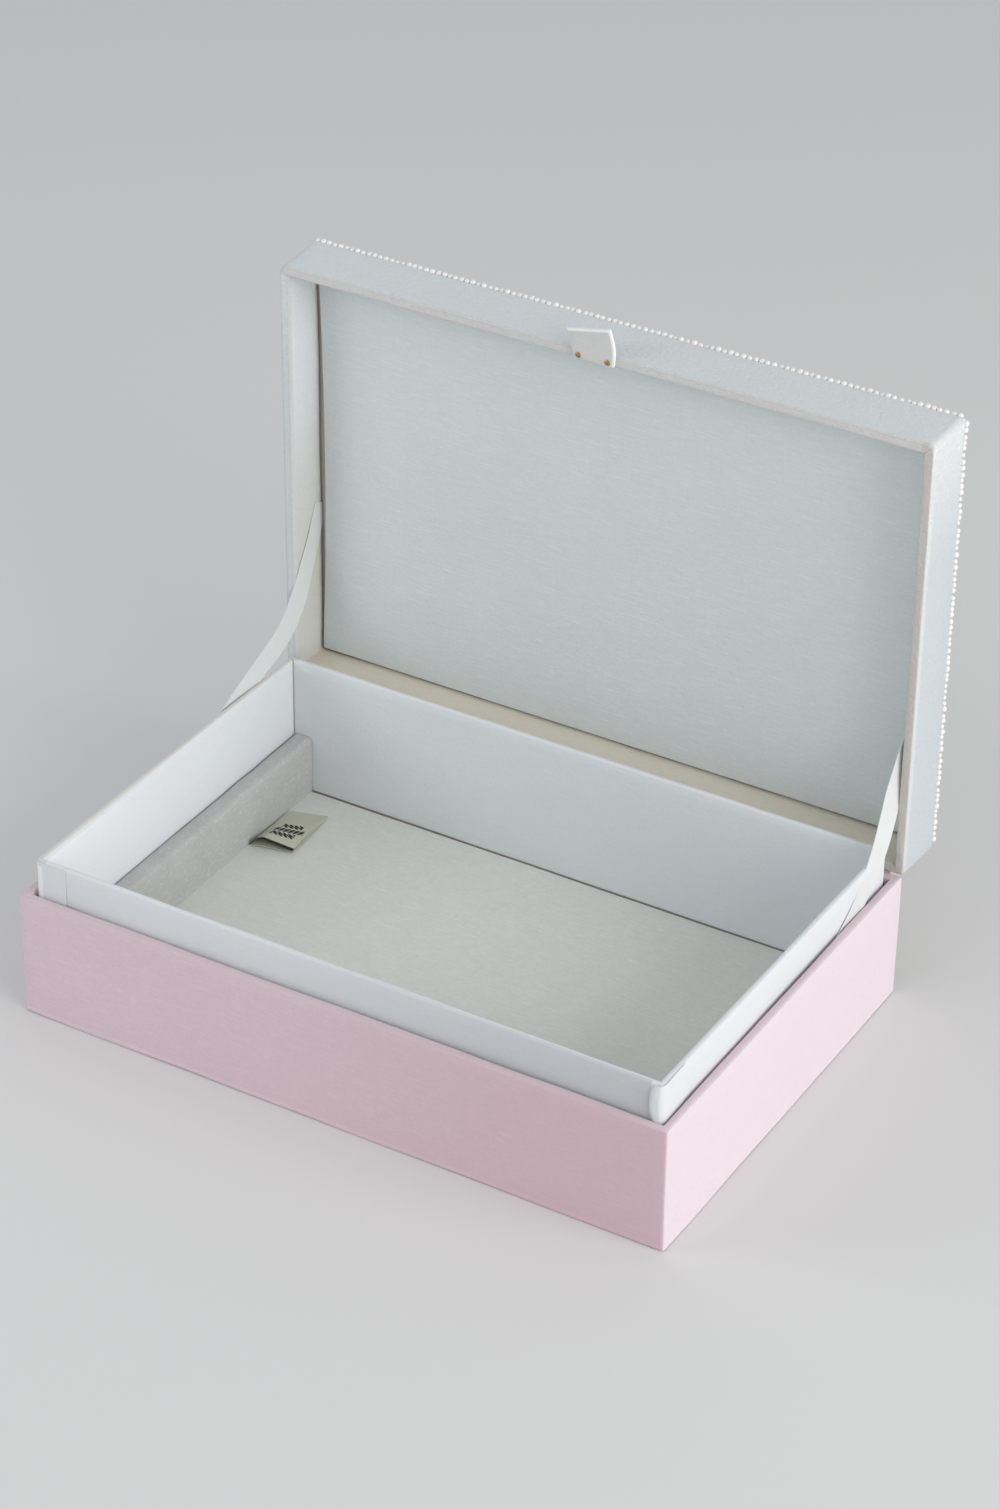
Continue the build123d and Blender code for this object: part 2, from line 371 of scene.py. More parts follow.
def makeWeaveGroup():
    # plain weave: warp and weft threads pass over and under each other; Pitch is one thread in mm
    group, given, result = newGroup("plainWeave", [("Vector", None), ("Pitch", 0.3),
                                                   ("Uneven", 0.5)], ["Height", "Thread"])
    scale = 1000.0 / given["Pitch"]
    wander = noiseOf(group, given["Vector"], weaveLook["wander"], weaveLook["wanderDetail"])
    shift = (wander - 0.5) * given["Uneven"]
    x, y = (value * scale + shift for value in axesOf(group, given["Vector"])[:2])
    heights = []
    for a, b, swap in ((x, y, 0.0), (y, x, math.pi)):
        ridge = abs((a * math.pi).to("SINE"))
        over = ((a.to("FLOOR") + b) * math.pi + swap).to("SINE") * 0.5 + 0.5
        heights.append(ridge * over)
    feed(group, result["Height"], heights[0].to("MAXIMUM", heights[1]))
    feed(group, result["Thread"], threadNoise(group, given["Vector"], weaveLook["thread"],
                                              weaveLook["threadDetail"]))
    return group


# each layer of slubs has a seed and a share of the full size
slubLook = {"layers": ((0.0, 1.0), (37.0, 0.45)), "keep": (0.52, 0.78)}


def makeSlubGroup():
    # thick places in the weft: short pale streaks that run one way
    group, given, result = newGroup("slubs", [("Vector", None), ("Length", 18.0), ("Width", 0.6),
                                              ("Amount", 0.5)], ["Mask"])
    x, y = axesOf(group, given["Vector"])[:2]
    total = None
    for seed, spread in slubLook["layers"]:
        place = addNode(group, "ShaderNodeCombineXYZ")
        for socket, value in zip(place.inputs, (x * 1000.0 / (given["Length"] * spread),
                                                y * 1000.0 / (given["Width"] * spread), seed)):
            feed(group, socket, value)
        keep = ramp(noiseOf(group, place.outputs[0], 1.0, 1.0), *slubLook["keep"])
        total = keep if total is None else total + keep
    feed(group, result["Mask"], total * given["Amount"])
    return group


# share of the patch size, and the noise that counts as none and as full
ageLook = {"Tone": (1.0, 0.3, 0.7), "Marks": (0.12, 0.6, 0.8), "Grain": (0.02, 0.35, 0.65)}


def makeAgeGroup():
    # slow change of tone over the piece, small faint marks, and a fine uneven grain
    group, given, result = newGroup("handledTone", [("Vector", None), ("Size", 60.0)],
                                    list(ageLook))
    for label, (shrink, low, high) in ageLook.items():
        cloud = noiseOf(group, given["Vector"], 1000.0 / (given["Size"] * shrink), 3.0)
        feed(group, result[label], ramp(cloud, low, high, kind="LINEAR"))
    return group


weaveGroup = makeWeaveGroup()
slubGroup = makeSlubGroup()
ageGroup = makeAgeGroup()


def useGroup(tree, group, vector, **values):
    node = addNode(tree, "ShaderNodeGroup", node_tree=group)
    feed(tree, node.inputs["Vector"], vector)
    for name, value in values.items():
        node.inputs[name].default_value = value
    return signals(tree, node)


def mixColour(tree, amount, first, second):
    node = addNode(tree, "ShaderNodeMix", data_type="RGBA")
    for index, value in ((0, amount), (6, first), (7, second)):
        feed(tree, node.inputs[index], value)
    return node.outputs[2]


def wash(tree, colour, mask, amount, tone):
    # lays a tone over the colour, as far as the mask and the amount let it
    return mixColour(tree, mask * amount, colour, tone)


def newMaterial(name):
    material = bpy.data.materials.new(name)
    material.use_nodes = True
    tree = material.node_tree
    coords = addNode(tree, "ShaderNodeTexCoord").outputs
    return material, tree, coords["UV"], coords["Object"]


def finishMaterial(tree, colour, rough, bump=None, **more):
    # bump is a height, its strength and its distance
    shader = tree.nodes["Principled BSDF"]
    if bump:
        node = addNode(tree, "ShaderNodeBump")
        for label, value in zip(("Height", "Strength", "Distance"), bump):
            feed(tree, node.inputs[label], value)
        feed(tree, shader.inputs["Normal"], node.outputs["Normal"])
    values = {"Base Color": colour, "Roughness": rough, **more}
    for label, value in values.items():
        feed(tree, shader.inputs[label.replace("_", " ")], value)


plainCloth = {"uneven": 0.6, "patch": 70.0, "threadShow": 0.5, "marks": 0.05, "grain": 0.2,
              "threadRelief": 0.6, "grainRelief": 0.5, "bump": 0.6, "roughVary": 0.1,
              "sheen": 0.15, "sheenRough": 0.45, "specular": 0.3}


def makeCloth(name, look):
    # tones are the shaded, dark and pale threads' share of the cloth's colour
    look = {**plainCloth, **look}
    shade, dark, pale = (tuple(min(1.0, channel * factor) for channel in look["colour"])
                         for factor in look["tones"])
    material, tree, flat, solid = newMaterial(name)
    length, width, amount = look["slubs"]
    weave = useGroup(tree, weaveGroup, flat, Pitch=look["pitch"], Uneven=look["uneven"])
    slubs = useGroup(tree, slubGroup, flat, Length=length, Width=width, Amount=amount)
    age = useGroup(tree, ageGroup, solid, Size=look["patch"])
    colour = mixColour(tree, age["Tone"], look["colour"], shade)
    colour = wash(tree, colour, weave["Thread"], look["threadShow"], dark)
    colour = mixColour(tree, slubs["Mask"], colour, pale)
    colour = wash(tree, colour, age["Marks"], look["marks"], dark)
    colour = wash(tree, colour, age["Grain"], look["grain"], dark)
    if "overSolid" in look:
        colour = look["overSolid"](tree, solid, colour)
    if "overFlat" in look:
        colour = look["overFlat"](tree, flat, colour)
    weaveRelief, slubRelief = look["relief"]
    height = (weave["Height"] * weaveRelief + slubs["Mask"] * slubRelief
              + weave["Thread"] * (weaveRelief * look["threadRelief"])
              + age["Grain"] * (look["grain"] * look["grainRelief"]))
    finishMaterial(tree, colour, weave["Thread"] * look["roughVary"] + look["rough"],
                   (height, look["bump"], 1 * mm), Sheen_Weight=look["sheen"],
                   Sheen_Roughness=look["sheenRough"], Specular_IOR_Level=look["specular"])
    return material


def boxMask(tree, solid, low, high, soft):
    # 1 inside a box of the piece's own space, fading over a soft edge
    axes = axesOf(tree, solid)
    mask = None
    for axis in range(3):
        for limit, sign in ((low[axis], 1), (high[axis], -1)):
            if limit is None:
                continue
            side = ramp(axes[axis], limit - sign * soft[axis], limit + sign * soft[axis])
            mask = side if mask is None else mask * side
    return mask


def washBoxes(tree, solid, colour, boxes):
    # lays a tone over each box: real stains, painted shade or painted light
    for low, high, soft, amount, tone in boxes:
        colour = wash(tree, colour, boxMask(tree, solid, low, high, soft), amount, tone)
    return colour


# each box is given by its low and high corner, its soft edge, an amount and a tone; the boxes
# hold real stains, painted shade and painted light
free = (None, None, None)
pinkPaintedLight = [
    # painted shade: the top edge is darker, as it faces up into the neck's shade
    ((None, None, 0.0485), free, (0, 0, 0.0002), 0.5, (0.66, 0.53, 0.55)),
    # painted light: the side towards the window is paler as a painted highlight, and the right
    # end of the front is darker as painted shade
    ((0.1268, None, None), free, (0.0006, 0.0004, 0), 0.75, (0.82, 0.725, 0.775)),
    ((0.05, None, None), (None, -0.0846, None), (0.13, 0.0004, 0), 0.75, (0.66, 0.455, 0.505))]
foldWear = {"height": 1.7 * mm, "fade": (0.7 * mm, 0.1 * mm, 0.35), "tone": (0.86, 0.76, 0.82)}


def foldWearAndPaintedLight(tree, solid, colour):
    # a pale worn line where the cloth turns under the bottom edge, then the painted shade and
    # light
    away = abs(axesOf(tree, solid)[2] - foldWear["height"])
    colour = mixColour(tree, ramp(away, *foldWear["fade"]), colour, foldWear["tone"])
    return washBoxes(tree, solid, colour, pinkPaintedLight)


# a greyer tone for painted shade on the lid
lidShadeTone = (0.66, 0.685, 0.70)
# painted shade: below its top band the lid is darker, so the top band stays lighter as painted
# light
lidStainsAndPaintedLight = [(free, (None, None, 0.185), (0, 0, 0.03), 0.75, lidShadeTone)]
# the inner walls have yellowed towards the hinge; lower down they are darker, partly yellowing
# and partly painted shade, and at the top they are paler as painted light
lidStainsAndPaintedLight += [((-0.1250, 0.0870, bottom * mm), (0.1250, None, top * mm),
               (0.0004, 0.0012, fade * mm), amount, tone)
              for bottom, top, fade, amount, tone in (
                  (50.0, 215.5, 0.4, 0.12, (0.78, 0.75, 0.68)),
                  (50.0, 125.0, 50.0, 0.85, (0.70, 0.68, 0.62)),
                  (50.0, 53.4, 0.4, 0.90, (0.75, 0.69, 0.575)),
                  (150.0, 400.0, 40.0, 0.55, (0.92, 0.93, 0.95)))]
# painted shade: the right side is greyed lower down, and the rim is darkened towards brown, most
# along the right side and the hinge end
lidStainsAndPaintedLight += [((0.1262, 0.0870, None), (None, None, 0.195), (0.0004, 0.001, 0.03), 0.9,
               (0.56, 0.60, 0.625))]
lidStainsAndPaintedLight += [(low, high, (0.0003, 0.0005, 0.0004), amount, (0.57, 0.515, 0.49))
              for low, high, amount in (
                  ((0.1236, None, None), (0.1278, 0.0862, 0.222), 0.72),
                  (free, (0.1278, 0.0870, 0.0532), 0.72),
                  ((None, None, 0.2157), (0.1236, 0.0862, None), 0.30))]
# painted shade: the lid's up-facing top is darker
lidStainsAndPaintedLight += [((None, 0.0866, 0.2187), free, (0, 0.0006, 0.0004), 0.7, lidShadeTone)]
rimWear = {"outX": 0.128, "front": 0.0857, "lines": (-0.5 * mm, -3.1 * mm),
           "fade": (0.55 * mm, 0.1 * mm, 0.42), "tone": (0.62, 0.55, 0.46),
           "foldWidth": 0.22 * mm, "foldReach": -3.4 * mm, "fold": 0.45,
           "foldTone": (0.42, 0.40, 0.37)}


def lidWearAndPaintedLight(tree, solid, colour):
    # the yellowing, and the painted shade and light of the lid
    colour = washBoxes(tree, solid, colour, lidStainsAndPaintedLight)
    # worn threads along both edges of the rim
    x, y, z = axesOf(tree, solid)
    outX = abs(x) - rimWear["outX"]
    outZ = abs(z - lidMiddle) - (lidHigh.z - lidMiddle)
    out = outX.to("MAXIMUM", outZ)
    front = y < rimWear["front"]
    for line in rimWear["lines"]:
        colour = wash(tree, colour, ramp(abs(out - line), *rimWear["fade"]), front,
                      rimWear["tone"])
    # the slanting fold where the cloth turns each corner of the rim
    fold = (abs(outX - outZ) < rimWear["foldWidth"]) * (front * (out > rimWear["foldReach"]))
    return wash(tree, colour, fold, rimWear["fold"], rimWear["foldTone"])


neckPaintedLight = [
    # painted shade and light: a dark line of painted shade down the back left inner corner, and
    # painted light on the left wall
    ((-0.1222, 0.0779, 0.029), (-0.1208, 0.0790, None), (0.0001, 0.0001, 0.0002), 0.65,
     (0.26, 0.255, 0.24)),
    ((-0.1222, None, 0.029), (-0.1204, -0.03, 0.0612), (0.0001, 0.06, 0.0004), 0.7,
     (0.93, 0.945, 0.97))]
# painted shade: the front wall is darker towards its right end
neckFrontShade = {"box": ((0.04, None, 0.04), (None, -0.0795, None), (0.12, 0.0004, 0.001)),
            "end": 0.1190, "amount": 0.9, "tone": (0.55, 0.57, 0.59)}
neckEdge = {"slope": 0.0079, "depth": 0.35 * mm, "left": -0.1190, "amount": 0.55,
            "tone": (0.62, 0.59, 0.51)}


def neckWearAndPaintedLight(tree, solid, colour):
    # the painted shade and light, the front darker towards the right as painted shade, and a
    # yellowed top edge on the left wall
    colour = washBoxes(tree, solid, colour, neckPaintedLight)
    x, y, z = axesOf(tree, solid)
    frontShade = boxMask(tree, solid, *neckFrontShade["box"]) * (x < neckFrontShade["end"])
    colour = wash(tree, colour, frontShade, neckFrontShade["amount"], neckFrontShade["tone"])
    worn = (z + y * neckEdge["slope"] > neckTop - neckEdge["depth"]) * (x < neckEdge["left"])
    return wash(tree, colour, worn, neckEdge["amount"], neckEdge["tone"])


# in mm: where the sloping top edge starts, and the bowed right edge
tabEdgeHighlight = {"slope": 0.2235, "top": 227.75, "foot": 216.1, "tall": 14.1, "bow": (2.0, 3.6),
           "right": 7.55, "amount": 0.9, "tone": (0.95, 0.96, 0.965)}


def tabLitEdges(tree, solid, colour):
    # painted highlight: the tab's top and right edges are painted paler than its face, as if lit
    x, y, z = (value / mm for value in axesOf(tree, solid))
    top = z - x * tabEdgeHighlight["slope"] > tabEdgeHighlight["top"]
    up = (z - tabEdgeHighlight["foot"]) / tabEdgeHighlight["tall"]
    right = x - up * (tabEdgeHighlight["bow"][0] - up * tabEdgeHighlight["bow"][1]) > tabEdgeHighlight["right"]
    return wash(tree, colour, top.to("MAXIMUM", right), tabEdgeHighlight["amount"], tabEdgeHighlight["tone"])


# rows in mm: middle, left end, right end, pitch of the strokes, and their slant
printLook = {"bound": 1.2 * mm, "half": 1.6, "zigzag": 6.0, "shift": 1.5, "stroke": 1.45,
             "ink": (0.018, 0.017, 0.020),
             "rows": ((15.0, 4.6, 12.8, 2.1, 0.5), (11.3, 3.4, 15.0, 1.9, -0.35),
                      (7.6, 3.8, 13.0, 2.0, 0.6))}


def labelPrint(tree, flat, colour):
    # black thread: a bound front edge, and three rows of slanting woven strokes
    across, along = axesOf(tree, flat)[:2]
    ink = along < printLook["bound"]
    for middle, left, right, pitch, slant in printLook["rows"]:
        place = (along - middle * mm) / mm
        zigzag = abs((across / (pitch * mm) + place * slant).to("FRACT") - 0.5)
        stroke = abs(zigzag * printLook["zigzag"] - (place + printLook["shift"]))
        stroke = stroke < printLook["stroke"]
        for part in (abs(place) < printLook["half"], across > left * mm, across < right * mm):
            stroke = stroke * part
        ink = ink.to("MAXIMUM", stroke)
    return mixColour(tree, ink, colour, printLook["ink"])


pinkCloth = makeCloth("pinkCloth", {
    "colour": (0.81, 0.625, 0.68), "tones": (0.955, 0.80, 1.07), "pitch": 0.42,
    "slubs": (12.0, 0.6, 0.45), "relief": (0.10, 0.08), "rough": 0.72, "sheen": 0.2,
    "overSolid": foldWearAndPaintedLight})
neckCloth = makeCloth("neckCloth", {
    "colour": (0.78, 0.80, 0.82), "tones": (0.975, 0.90, 1.02), "pitch": 0.28,
    "slubs": (30.0, 0.5, 0.25), "relief": (0.05, 0.03), "rough": 0.66, "sheen": 0.1,
    "overSolid": neckWearAndPaintedLight})
floorCloth = makeCloth("floorCloth", {
    "colour": (0.785, 0.79, 0.74), "tones": (0.95, 0.76, 1.07), "pitch": 0.42,
    "slubs": (10.0, 0.8, 0.42), "relief": (0.10, 0.09), "rough": 0.8, "marks": 0.2})
ledgeCloth = makeCloth("ledgeCloth", {
    "colour": (0.56, 0.56, 0.55), "tones": (0.88, 0.76, 1.14), "pitch": 0.4,
    "slubs": (3.0, 1.4, 0.6), "relief": (0.09, 0.12), "rough": 0.88, "sheen": 0.3,
    "patch": 14.0})
lidCloth = makeCloth("lidCloth", {
    "colour": (0.79, 0.81, 0.82), "tones": (0.95, 0.78, 1.10), "pitch": 0.42,
    "slubs": (3.5, 1.0, 0.6), "relief": (0.10, 0.20), "rough": 0.68, "sheen": 0.2,
    "grain": 0.45, "overSolid": lidWearAndPaintedLight})
liningCloth = makeCloth("liningCloth", {
    "colour": (0.755, 0.795, 0.79), "tones": (0.96, 0.80, 1.07), "pitch": 0.42,
    "slubs": (13.0, 0.8, 0.42), "relief": (0.10, 0.09), "rough": 0.62, "sheen": 0.2})
labelCloth = makeCloth("labelCloth", {
    "colour": (0.60, 0.595, 0.48), "tones": (0.96, 0.80, 1.06), "pitch": 0.30,
    "slubs": (6.0, 0.4, 0.2), "relief": (0.06, 0.04), "rough": 0.85, "overFlat": labelPrint})
# painted shade: the tab cloth is greyer than the other white cloths
tabCloth = makeCloth("tabCloth", {
    "colour": (0.69, 0.70, 0.68), "tones": (0.97, 0.88, 1.05), "pitch": 0.28,
    "slubs": (8.0, 0.4, 0.2), "relief": (0.04, 0.03), "rough": 0.7, "overSolid": tabLitEdges})
hingeCloth = makeCloth("hingeCloth", {
    "colour": (0.74, 0.725, 0.69), "tones": (0.97, 0.88, 1.04), "pitch": 0.36,
    "slubs": (10.0, 0.5, 0.25), "relief": (0.05, 0.04), "rough": 0.75})


def makeSatin():
    # warp-faced satin: fine lines along the ribbon, and a soft gloss
    material, tree, flat, solid = newMaterial("ribbonSatin")
    lines = threadNoise(tree, flat, (120.0, 4200.0, 1.0), 2.0)
    colour = mixColour(tree, lines, (0.77, 0.785, 0.785), (0.67, 0.685, 0.68))
    finishMaterial(tree, colour, lines * 0.16 + 0.34, (lines, 0.25, 0.1 * mm),
                   Sheen_Weight=0.25)
    return material


def makePearl():
    # slightly different tone on every pearl, with a glossy skin over a soft body
    material, tree, flat, solid = newMaterial("pearl")
    age = useGroup(tree, ageGroup, solid, Size=9.0)
    colour = mixColour(tree, age["Tone"], (0.86, 0.85, 0.82), (0.90, 0.86, 0.85))
    finishMaterial(tree, colour, age["Marks"] * 0.15 + 0.24, Coat_Weight=0.6,
                   Coat_Roughness=0.12, Sheen_Weight=0.2)
    return material


def makeBrass():
    material, tree, flat, solid = newMaterial("agedBrass")
    age = useGroup(tree, ageGroup, solid, Size=1.2)
    colour = mixColour(tree, age["Tone"], (0.56, 0.36, 0.13), (0.34, 0.20, 0.07))
    finishMaterial(tree, colour, age["Tone"] * 0.25 + 0.28, Metallic=0.9)
    return material


def makeBoard(name, colour, dark, size):
    # pressed grey board or paper with fibres
    material, tree, flat, solid = newMaterial(name)
    age = useGroup(tree, ageGroup, solid, Size=size)
    fibres = noiseOf(tree, solid, 1400.0, 4.0)
    tone = age["Tone"] * 0.4 + fibres * 0.6
    finishMaterial(tree, mixColour(tree, tone, colour, dark), fibres * 0.15 + 0.8,
                   (fibres, 0.4, 0.2 * mm))
    return material


ribbonSatin = makeSatin()
pearlSkin = makePearl()
agedBrass = makeBrass()
greyBoard = makeBoard("greyBoard", (0.50, 0.455, 0.385), (0.38, 0.34, 0.28), 20.0)
undersidePaper = makeBoard("undersidePaper", (0.70, 0.56, 0.60), (0.58, 0.46, 0.50), 30.0)
whiteWadding = makeBoard("whiteWadding", (0.80, 0.80, 0.78), (0.66, 0.66, 0.64), 8.0)
print("materials are made")


# cloth turned over the walls of an open tray

def clothTray(name, low, high, look):
    # the tray opens upwards: a sheet over its outside and its top edge, and down the inside
    # of its walls
    low, high = Vector(low), Vector(high)
    half, centre = (high - low) / 2, (high + low) / 2
    piece = addBlock(name, low, high)
    openEdit(piece)
    pickFaces(piece, lambda middle, normal: normal.z > 0.9)
    bpy.ops.mesh.inset(thickness=look["wall"])
    bpy.ops.mesh.extrude_region_move(TRANSFORM_OT_translate={"value": (0, 0, -look["inside"])})
    bpy.ops.mesh.delete(type="FACE")
    pickFaces(piece, lambda middle, normal: normal.z < -0.9)
    if look["underneath"]:
        bpy.ops.mesh.inset(thickness=look["underneath"])
    if look["underneath"] is not None:
        bpy.ops.mesh.delete(type="FACE")

    def outside(middle):
        return (abs(middle.x - centre.x) > half.x - 0.1 * mm,
                abs(middle.y - centre.y) > half.y - 0.1 * mm)

    if look["softBottom"]:
        pickEdges(piece, lambda edge, middle, run:
                  middle.z < low.z + 0.1 * mm and any(outside(middle)))
        bevelPicked(look["corner"], look["cornerSteps"])
    for nearSide, corner in ((True, look.get("nearCorner", look["corner"])),
                             (False, look["corner"])):
        pickEdges(piece, lambda edge, middle, run: abs(run.z) > 0.99 * run.length
                  and all(outside(middle)) and (middle.y < centre.y) == nearSide)
        bevelPicked(corner, look["cornerSteps"])
    pickEdges(piece, lambda edge, middle, run: middle.z > high.z - 0.05 * mm
              and len(edge.link_faces) == 2 and edge.calc_face_angle(0) > 0.6)
    bevelPicked(look["rim"], 3)
    for axis, cuts in enumerate(look["cuts"]):
        cutAlong(piece, axis, cuts, look["longest"][axis])
    closeEdit()
    return piece


baseLook = {"wall": 3.4 * mm, "inside": 19 * mm, "underneath": 12 * mm, "softBottom": False,
            "corner": 0.9 * mm, "cornerSteps": 4, "rim": 0.6 * mm, "cuts": (48, 32, 10),
            "longest": (100 * mm, 80 * mm, 15 * mm), "thickness": 0.42 * mm,
            "swellSize": 38 * mm, "swell": 0.3 * mm}


def makeBaseCover():
    low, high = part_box("base_cover_cloth")
    piece = clothTray("baseCover", low, high, baseLook)
    unwrapFlat(piece)
    swell(piece, baseLook["swellSize"], baseLook["swell"], 3.1)
    for vertex in piece.data.vertices:
        # the top edge stays clear of the closed lid
        vertex.co.z = min(vertex.co.z, high.z - 0.05 * mm)
    thicken(piece, baseLook["thickness"])
    smooth(piece)
    dress(piece, pinkCloth, "base", "pink_cloth", "base_cover_cloth")


neckLook = {"wall": 2.2 * mm, "inside": 55 * mm, "underneath": 0, "softBottom": False,
            "corner": 1.7 * mm, "cornerSteps": 4, "rim": 0.7 * mm, "cuts": (48, 32, 14),
            "longest": (100 * mm, 80 * mm, 20 * mm), "thickness": 0.33 * mm,
            "swellSize": 30 * mm, "swell": 0.22 * mm, "frontRise": 1.3 * mm}


def makeNeckCover():
    low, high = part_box("neck_cover_cloth")
    piece = clothTray("neckCover", low, high, neckLook)
    unwrapFlat(piece)
    for vertex in piece.data.vertices:
        # the front wall stands a little taller than the back
        toFront = (high.y - vertex.co.y) / (high.y - low.y)
        up = max(0.0, (vertex.co.z - 20 * mm) / (high.z - 20 * mm))
        vertex.co.z += neckLook["frontRise"] * toFront * up
    swell(piece, neckLook["swellSize"], neckLook["swell"], 8.4)
    thicken(piece, neckLook["thickness"])
    smooth(piece)
    dress(piece, neckCloth, "base", "neck_cloth", "neck_cover_cloth")


lidLook = {"wall": 3.5 * mm, "inside": 18.9 * mm, "underneath": None, "softBottom": True,
           "corner": 2.9 * mm, "nearCorner": 1.1 * mm, "cornerSteps": 6, "rim": 0.6 * mm,
           "cuts": (48, 32, 6), "flare": 1.0 * mm,
           "longest": (100 * mm, 80 * mm, 10 * mm), "thickness": 0.42 * mm,
           "swellSize": 24 * mm, "swell": 0.28 * mm, "crown": 1.2 * mm, "sideBulge": 1.0 * mm}


def lidCrown(x, z):
    # how far the padded top stands out at a place on it
    u = min(1.0, abs(x) / lidHigh.x)
    v = min(1.0, abs(z - lidMiddle) / (lidHigh.z - lidMiddle))
    return lidLook["crown"] * (1 - u ** 5) * (1 - v ** 5)


def makeLidCover():
    low, high, middle = lidLow, lidHigh, lidMiddle
    length, depth, width = high - low
    piece = clothTray("lidCover", (-length / 2, -width / 2, 0), (length / 2, width / 2, depth),
                      lidLook)
    # it is built lying on its back, then stood up at the open position
    piece.rotation_euler = (math.radians(90), 0, 0)
    piece.location = (0, high.y, middle)
    makeActive(piece)
    bpy.ops.object.transform_apply(location=True, rotation=True, scale=True)
    unwrapFlat(piece)
    for vertex in piece.data.vertices:
        place = vertex.co
        outer = (place.y - low.y) / depth
        alongZ = 1 - min(1.0, abs(place.z - middle) / (width / 2)) ** 2
        if place.y > high.y - 0.3 * mm:
            place.y += lidCrown(place.x, place.z)
        elif place.x > high.x - 2 * mm:
            place.x += lidLook["sideBulge"] * alongZ * math.sin(math.pi * min(1, outer * 1.1))
        if outer > 0.97 or abs(place.x) > high.x - 2.9 * mm or place.z > high.z - 2.9 * mm:
            place.x += lidLook["flare"] * outer * place.x / high.x
            if place.z > middle:
                place.z += lidLook["flare"] * outer * (place.z - middle) / (width / 2)
    swell(piece, lidLook["swellSize"], lidLook["swell"], 5.7)
    for vertex in piece.data.vertices:
        vertex.co.y = max(vertex.co.y, low.y + 0.05 * mm)
    thicken(piece, lidLook["thickness"])
    smooth(piece)
    dress(piece, lidCloth, "lid", "lid_cloth", "lid_cover_cloth")


makeBaseCover()
makeNeckCover()
makeLidCover()
print("covers are on")


# floor of the tray and the ledge along its left side

floorLook = {"edge": 0.7 * mm, "cuts": (60, 40), "swellSize": 34 * mm, "swell": 0.16 * mm}


def makeFloorCover():
    low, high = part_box("floor_cover_cloth")
    low.z = high.z - 2.6 * mm
    piece = addBlock("floorCover", low, high)
    openEdit(piece)
    pickEdges(piece, lambda edge, middle, run: middle.z > high.z - 0.1 * mm)
    bevelPicked(floorLook["edge"], 3)
    cutAlong(piece, 0, floorLook["cuts"][0], 100 * mm)
    cutAlong(piece, 1, floorLook["cuts"][1], 100 * mm)
    closeEdit()
    unwrapFlat(piece)
    for vertex in piece.data.vertices:
        if vertex.co.z > high.z - 0.1 * mm:
            wave = noise.noise(vertex.co / floorLook["swellSize"] + Vector((2.2, 0, 0)))
            vertex.co.z += wave * floorLook["swell"]
    smooth(piece)
    dress(piece, floorCloth, "base", "floor_cloth", "floor_cover_cloth")


ledgeLook = {"round": 2.0 * mm, "steps": 5, "cuts": 40, "swellSize": 12 * mm,
             "swell": 0.28 * mm, "thickness": 0.4 * mm}


def makeLedgeCover():
    low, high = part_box("ledge_cover_cloth")
    piece = addBlock("ledgeCover", low, high)
    openEdit(piece)
    pickFaces(piece, lambda middle, normal: normal.z < -0.9)
    bpy.ops.mesh.delete(type="FACE")
    pickEdges(piece, lambda edge, middle, run: middle.z > high.z - 0.1 * mm
              and abs(run.y) > 0.9 * run.length)
    bevelPicked(ledgeLook["round"], ledgeLook["steps"])
    cutAlong(piece, 1, ledgeLook["cuts"], 100 * mm)
    cutAlong(piece, 2, 6, 15 * mm)
    closeEdit()
    unwrapFlat(piece)
    swell(piece, ledgeLook["swellSize"], ledgeLook["swell"], 1.3)
    thicken(piece, ledgeLook["thickness"])
    smooth(piece)
    dress(piece, ledgeCloth, "base", "ledge_cloth", "ledge_cover_cloth")


makeFloorCover()
makeLedgeCover()
print("floor and ledge are covered")


# flat cloth laid along a route

def shapeSheet(name, size, cuts, place):
    # a flat grid, then every point goes to place(along, across), both from 0 to 1
    deselectAll()
    bpy.ops.mesh.primitive_grid_add(x_subdivisions=cuts[0], y_subdivisions=cuts[1], size=1)
    piece = bpy.context.object
    piece.name = piece.data.name = name
    sheet = piece.data
    flat = [(vertex.co.x + 0.5, vertex.co.y + 0.5) for vertex in sheet.vertices]
    layer = sheet.uv_layers[0].data
    for loop in sheet.loops:
        along, across = flat[loop.vertex_index]
        layer[loop.index].uv = (along * size[0], across * size[1])
    for vertex, (along, across) in zip(sheet.vertices, flat):
        vertex.co = place(along, across)
    return piece


def alongRoute(route, t):
    # a smooth line through the route's points, and its direction
    spans = len(route) - 1
    i = min(int(t * spans), spans - 1)
    f = t * spans - i
    p = [Vector(route[max(0, min(spans, i + k))]) for k in (-1, 0, 1, 2)]
    m = ((p[2] - p[0]) / 2, (p[3] - p[1]) / 2)
    place = ((2 * f ** 3 - 3 * f ** 2 + 1) * p[1] + (f ** 3 - 2 * f ** 2 + f) * m[0]
             + (3 * f ** 2 - 2 * f ** 3) * p[2] + (f ** 3 - f ** 2) * m[1])
    run = ((6 * f ** 2 - 6 * f) * p[1] + (3 * f ** 2 - 4 * f + 1) * m[0]
           + (6 * f - 6 * f ** 2) * p[2] + (3 * f ** 2 - 2 * f) * m[1])
    return place, run.normalized()


